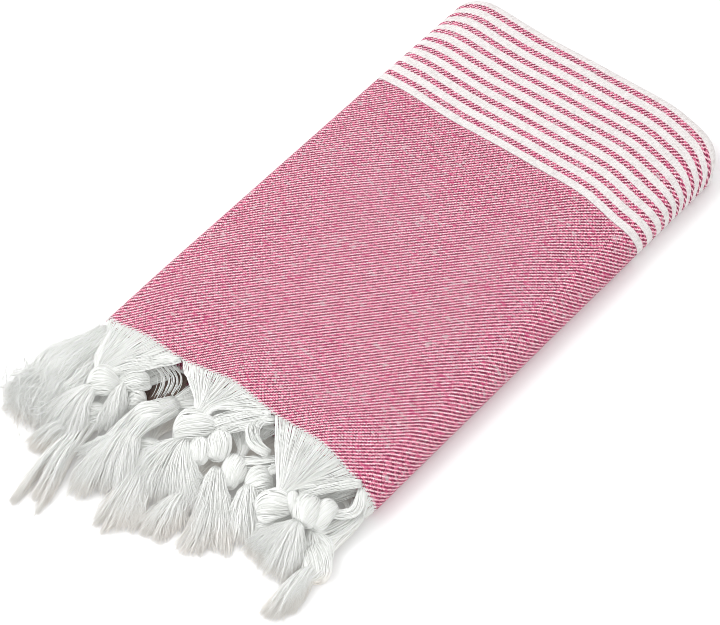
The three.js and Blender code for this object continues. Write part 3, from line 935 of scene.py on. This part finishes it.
def lobeCore(lobe):
    # The egg itself, a little smaller, as a grid of t and angle.
    halfLong, halfWide, halfHigh = lobe[3:6]
    t = np.linspace(0.05, np.pi - 0.05, 16)[None, :, None]
    around = (2 * np.pi * np.arange(20) / 20)[None, None, :]
    out = fringe["lobeCore"] * np.sin(t) ** 0.7
    along = -0.95 * halfLong * np.cos(t) + 0 * around
    return eggPoints(lobe, t, along, halfWide * out * np.cos(around), halfHigh * out * np.sin(around))


def brushPaths(brush, random):
    # A yarn is a quadratic Bezier from the knot's mouth over a raised middle to the row of tips.
    # Its seat is its share of the way along that row, and its depth lifts it off the middle of
    # the brush by body x sin(pi x share^0.7). Near the ends the seats close up into tufts.
    tips = np.array([placeOf(tip) for tip in brush["tips"]])
    count = brush["yarns"]
    source = placeOf(brush["from"])
    across = unit((tips[-1] - tips[0]) * [1, 1, 0])
    line = np.concatenate([[0], np.cumsum(np.linalg.norm(np.diff(tips, axis=0), axis=1))])
    tufts = brush.get("tufts", max(3, int(line[-1] / fringe["tuftWidth"])))
    seat = random.random(count)
    uneven = seat + 0.25 / tufts * np.sin(2 * np.pi * seat * 3.3)
    tuft = np.clip(np.floor(uneven * tufts), 0, tufts - 1).astype(int)
    heart = (tuft + random.uniform(0.3, 0.7, tufts)[tuft]) / tufts
    closed = blend(seat, heart, brush.get("closed", fringe["closed"]))
    end = np.stack([np.interp(closed, line / line[-1], column) for column in tips.T], -1)
    depth = random.uniform(-1, 1, count)
    spread = 2 * seat - 1
    end = end + random.normal(0, fringe["frayed"], (count, 3)) * [1, 1, 0.6]
    girth = np.sqrt(np.clip(1 - spread ** 2, 0.15, 1))
    up = np.array([0, 0, 1.0])
    start = source + (spread * brush["mouth"])[:, None] * across
    start = start + (depth * girth * fringe["mouthDepth"])[:, None] * up
    start = start + random.normal(0, 0.5, (count, 3))
    raised = placeOf(brush["over"]) - blend(source, tips.mean(0), 0.5)
    middle = blend(start, end, 0.5) + raised
    cut = random.uniform(0.9, 1.02, tufts)[tuft] - 0.12 * random.random(count) ** 3
    shares = np.linspace(0, 1, 10)
    spot = shares[None, :] * cut[:, None]
    paths = ((1 - spot) ** 2)[..., None] * start[:, None]
    paths = paths + (2 * spot * (1 - spot))[..., None] * middle[:, None]
    paths = paths + (spot ** 2)[..., None] * end[:, None]
    body = fringe["brushBody"] * np.sin(np.pi * np.clip(spot, 0, 1) ** 0.7) + 1.0 * spot
    paths = paths + (depth * girth)[:, None, None] * body[..., None] * up
    size = brush.get("crinkle", fringe["crinkle"]) * (0.4 + 1.6 * shares)[None, :, None]
    stray = random.random(count) < fringe["stray"]
    size = size * np.where(stray, fringe["strayBrush"], 1.0)[:, None, None]
    return paths + wander(random, count, shares, size, 1, 3.6)


def fluffPaths(paths, random):
    # Short arcs that leave a yarn at a random place: along the yarn, out from it by share^1.5,
    # and curled.
    count = int(fringe["fluffPerYarn"] * len(paths))
    yarn = random.integers(0, len(paths), count)
    stations = paths.shape[1]
    place = random.uniform(0.25, 0.92, count) * (stations - 1)
    below = np.minimum(place.astype(int), stations - 2)
    root = blend(paths[yarn, below], paths[yarn, below + 1], (place - below)[:, None])
    ahead = unit(paths[yarn, below + 1] - paths[yarn, below])
    aside = unit(random.normal(0, 1, (count, 3)) + [0, 0, 0.6])
    shares = np.linspace(0, 1, 5)
    long = random.uniform(*fringe["fluffLong"], count)[:, None, None]
    out = random.uniform(*fringe["fluffOut"], count)[:, None, None]
    curve = root[:, None] + ahead[:, None] * shares[None, :, None] * long
    curve = curve + aside[:, None] * shares[None, :, None] ** 1.5 * out
    return curve + wander(random, count, shares, shares[None, :, None] * 1.2, 0.5, 1.2)


def coreMesh(grid):
    # an egg's grid as a mesh, closed as a yarn's is
    quads, ends = ringFaces(1, *grid.shape[1:3])
    corners = [np.zeros((quads.size, 2)), np.zeros((ends.size, 2))]
    return grid.reshape(-1, 3), [quads.reshape(-1, 4), ends], corners


def joinParts(parts):
    # arrays of several meshes as those of one, with face numbers moved on past the points before
    points, groups, corners, tones = [], {}, {}, []
    passed = 0
    for (made, faces, uvs), tone in parts:
        for group, uv in zip(faces, uvs):
            groups.setdefault(group.shape[1], []).append(group + passed)
            corners.setdefault(group.shape[1], []).append(uv)
        points.append(made)
        tones.append(np.broadcast_to(np.repeat(tone, len(made) // len(tone)), len(made)))
        passed += len(made)
    order = sorted(groups)
    return (np.concatenate(points), [np.concatenate(groups[size]) for size in order],
            [np.concatenate(corners[size]) for size in order], np.concatenate(tones))


def yarnPart(paths, radius, thin, random, deep=0):
    # Tubes of a radius that falls to thin x radius by share^4, with a random tone for each yarn,
    # under zero for the deep ones, which the material colours dark brown as painted shadow.
    share = np.linspace(0, 1, paths.shape[1])
    radii = np.broadcast_to(radius * (1 - (1 - thin) * share ** 4), paths.shape[:2])
    radii = radii * random.uniform(0.8, 1.15, (len(paths), 1))
    return yarnTubes(paths, radii, 3), random.random(len(paths)) - 2 * deep


def tasselPiece(name, tassel, random):
    # One mesh of all a tassel's yarns. Across is the level direction square to the line from
    # the first lobe to the middle of the first brush's tips.
    heart = placeOf(tassel["lobes"][0])
    tip = np.mean([placeOf(spot) for spot in tassel["brushes"][0]["tips"]], axis=0)
    across = unit(np.array([heart[1] - tip[1], tip[0] - heart[0], 0]))
    parts = []

    def addYarns(paths, radius, thin=1, deep=0):
        # tubes along paths that are first lifted off the floor
        paths = onFloor(paths, radius, random)
        parts.append(yarnPart(paths, radius, thin, random, deep))
        return paths

    addYarns(fanPaths(tassel, across, random), fringe["fanRadius"])
    for brush in tassel["brushes"]:
        paths = addYarns(brushPaths(brush, random), fringe["brushRadius"], fringe["brushThin"])
        addYarns(fluffPaths(paths, random), fringe["fluffRadius"], fringe["fluffThin"])
    crinkle = tassel.get("crinkle", fringe["crinkle"])
    # shadowed bands take deep = 1, so their tone falls under zero and they are coloured as painted shadow
    for kind, deep in (("bands", 0), ("shadowed", 1)):
        for band in tassel.get(kind, []):
            addYarns(bandPaths(band, crinkle, random), fringe["bandRadius"], 1, deep)
    if "hanging" in tassel:
        paths = hangingPaths(tassel["hanging"], random)
        parts.append(yarnPart(paths, fringe["bandRadius"], 1, random))
    for lobe in tassel["lobes"]:
        addYarns(lobePaths(lobe, random), fringe["lobeRadius"])
        core = lobeCore(lobe)
        core[..., 2] = np.maximum(core[..., 2], fringe["coreClear"])
        parts.append((coreMesh(core), np.array([fringe["coreTone"]])))
    points, faces, corners, tone = joinParts(parts)
    return addMesh(name, points, faces, corners, "yarn", tone)


yarnLook = {
    "clean": (0.95, 0.96, 0.94, 1),
    "shade": (0.79, 0.80, 0.775, 1),
    "toneCut": (0.15, 0.75),
    "paintedGlow": 0.09,  # painted light: the yarns give off their own colour, in place of light passing through them from behind
    "warm": (0.91, 0.83, 0.76, 1),
    # painted shadow: the dark brown of yarns whose tone is under zero, where the fringe lies in shade
    "deep": (0.16, 0.11, 0.09, 1),
    "warmHeight": (2, 12),  # from where to where above the floor the warm tone fades out
    "twist": 2.4,  # along a yarn, for one turn of its plies
    "relief": 0.00012,  # metres
    "bump": 0.6,
    "roughness": 0.92,
    "specular": 0.2,
    "sheen": (0.15, 0.5),  # weight and roughness
}


def yarnMaterial(look):
    # white cotton: tone by yarn, warmer near the floor, dark brown painted shadow where the tone is
    # under zero, painted light given off in the yarns' own colour, and plies that wind round each yarn
    material, turn, along = startMaterial("white_yarn", "yarn")
    tone = turn.node("ShaderNodeAttribute", {"attribute_name": "tone"}, {}, 2)
    place = turn.node("ShaderNodeTexCoord", {}, {}, 3)
    height = turn.node("ShaderNodeSeparateXYZ", {}, {0: place}, 2) * 1000
    cloudy = noise(place, 2.0, 60.0)
    base = (tone * 0.6 + cloudy * 0.4).step(*look["toneCut"]).colour(look["shade"], look["clean"])
    low = (1 - height.step(*look["warmHeight"])) * (0.1 + 0.55 * cloudy)
    # painted shadow: a tone under zero turns the yarn dark brown
    colour = (0 - tone).step(0.4, 0.6).colour(low.colour(base, look["warm"]), look["deep"])
    plies = ((turn + along / look["twist"]) * (4 * math.pi)).math("SINE")
    bump = turn.node("ShaderNodeBump", {}, {"Strength": look["bump"], "Distance": look["relief"],
                                            "Height": plies})
    # painted light: the yarns give off a little of their own colour, though they are no lamp
    finishMaterial(turn, colour, bump, look, look["paintedGlow"])
    return material


whiteYarn = yarnMaterial(yarnLook)
random = np.random.default_rng(fringe["seed"])
for number, tassel in tassels.items():
    piece = tasselPiece("yarn_tassel_" + number, tassel, random)
    piece.data.materials.append(whiteYarn)
    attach(piece, "root")
    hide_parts("tassel_" + number)


# Floor and light.
studio = {
    "floor": (0.93, 0.93, 0.93, 1),
    "floorHalf": 8000,
    "floorRoughness": 0.9,
    "floorSpecular": 0.1,
    "sky": 1.0,
    "keyPower": 29,
    "keySize": 1.8,
    "keyPlace": (-1.3, -0.7, 1.9),
    "fillPower": 10,
    "fillSize": 2.0,
    "fillPlace": (1.3, -1.4, 1.5),
    "pixelFilter": 0.9,  # narrow, so that the weave stays crisp
}


def addLight(name, place, size, power):
    # a square panel that faces the towel
    data = bpy.data.lights.new(name, "AREA")
    data.size = size
    data.energy = power
    light = addObject(name, data)
    light.location = place
    light.rotation_euler = (-Vector(place)).to_track_quat("-Z", "Y").to_euler()


def addFloor(look):
    # a level square round the towel, as far each way as its half side
    half = look["floorHalf"]
    corners = np.array([(-half, -half, 0), (half, -half, 0), (half, half, 0), (-half, half, 0)])
    floor = addMesh("floor", corners, [np.array([[0, 1, 2, 3]])], [np.zeros((4, 2))], "floor")
    material = bpy.data.materials.new("floor")
    material.use_nodes = True
    shader = material.node_tree.nodes["Principled BSDF"]
    shader.inputs["Base Color"].default_value = look["floor"]
    shader.inputs["Roughness"].default_value = look["floorRoughness"]
    shader.inputs["Specular IOR Level"].default_value = look["floorSpecular"]
    floor.data.materials.append(material)
    return floor


floor = addFloor(studio)
for name in ("key", "fill"):
    addLight(name, studio[name + "Place"], studio[name + "Size"], studio[name + "Power"])
world = bpy.data.worlds.new("studio")
world.use_nodes = True
world.node_tree.nodes["Background"].inputs["Color"].default_value = (1, 1, 1, 1)
world.node_tree.nodes["Background"].inputs["Strength"].default_value = studio["sky"]
bpy.context.scene.world = world
bpy.context.scene.view_settings.view_transform = "Standard"
bpy.context.scene.cycles.filter_width = studio["pixelFilter"]
print("studio lit")
